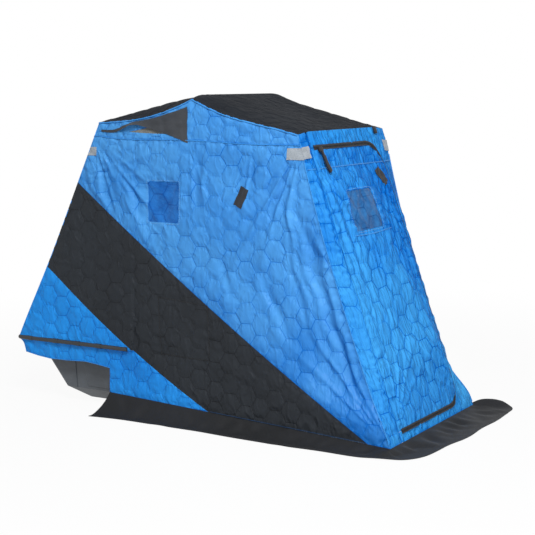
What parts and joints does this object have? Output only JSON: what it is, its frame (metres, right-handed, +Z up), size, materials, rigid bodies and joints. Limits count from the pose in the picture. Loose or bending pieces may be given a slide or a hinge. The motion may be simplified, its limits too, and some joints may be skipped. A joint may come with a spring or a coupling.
{
  "type": "ice fishing hut",
  "caption": "Flip-over ice fishing hut: an insulated cloth cabin on bent bows over a moulded sled, with a zipped front door flap, film windows, gable vents and a ground skirt.",
  "frame": {"origin": "on the ground below the middle of the hut's box", "axes": "+X towards the door end, -Y towards the door's hinge side, +Z up"},
  "size_m": [2.3814, 1.162, 1.595],
  "materials": {
    "blue_cloth": "quilted polyester, slight sheen",
    "black_cloth": "quilted polyester, charcoal",
    "flap_cloth": "plain woven, charcoal",
    "roof_cloth": "quilted polyester, dark grey",
    "skirt_cloth": "coated plain weave, black",
    "mesh": "fine grey net",
    "window_film": "clear vinyl film over a dark cabin",
    "door_film": "clear vinyl film",
    "black_plastic": "black moulded plastic",
    "bow_tube": "drawn tube, satin",
    "plate_paint": "black powder coat",
    "rail_paint": "black coated tube",
    "sled_plastic": "dark grey moulded polyethylene"
  },
  "bodies": {
    "hut": {"right_gable_panel": "blue_cloth", "right_main_panel": "blue_cloth", "right_rear_panel": "blue_cloth", "right_band_panel": "black_cloth", "right_vent_flap": "flap_cloth", "right_vent_mesh": "mesh", "right_side_window": "window_film", "right_skirt": "skirt_cloth", "right_pivot_plate": "plate_paint", "left_gable_panel": "blue_cloth", "left_main_panel": "blue_cloth", "left_rear_panel": "blue_cloth", "left_band_panel": "black_cloth", "left_vent_flap": "flap_cloth", "left_vent_mesh": "mesh", "left_side_window": "window_film", "left_skirt": "skirt_cloth", "left_pivot_plate": "plate_paint", "front_hinge_strip": "blue_cloth", "front_zip_strip": "blue_cloth", "front_header": "blue_cloth", "front_sill": "blue_cloth", "rear_wall": "blue_cloth", "front_roof": "roof_cloth", "rear_roof": "roof_cloth", "front_skirt": "skirt_cloth", "ground_bow": "bow_tube", "front_bow": "bow_tube", "ridge_bow": "bow_tube", "rear_bow": "bow_tube", "base_rail": "rail_paint", "sled_tub": "sled_plastic"},
    "door": {"door_panel": "blue_cloth", "door_window": "door_film", "zip_slider": "black_plastic"}
  },
  "joints": [
    {"name": "door_swing", "type": "hinge", "parent": "hut", "child": "door", "pos_m": [1.00349, -0.346, 0.07516], "axis": [0.3351, 0, -0.9422], "range_deg": [0, 105]}
  ]
}
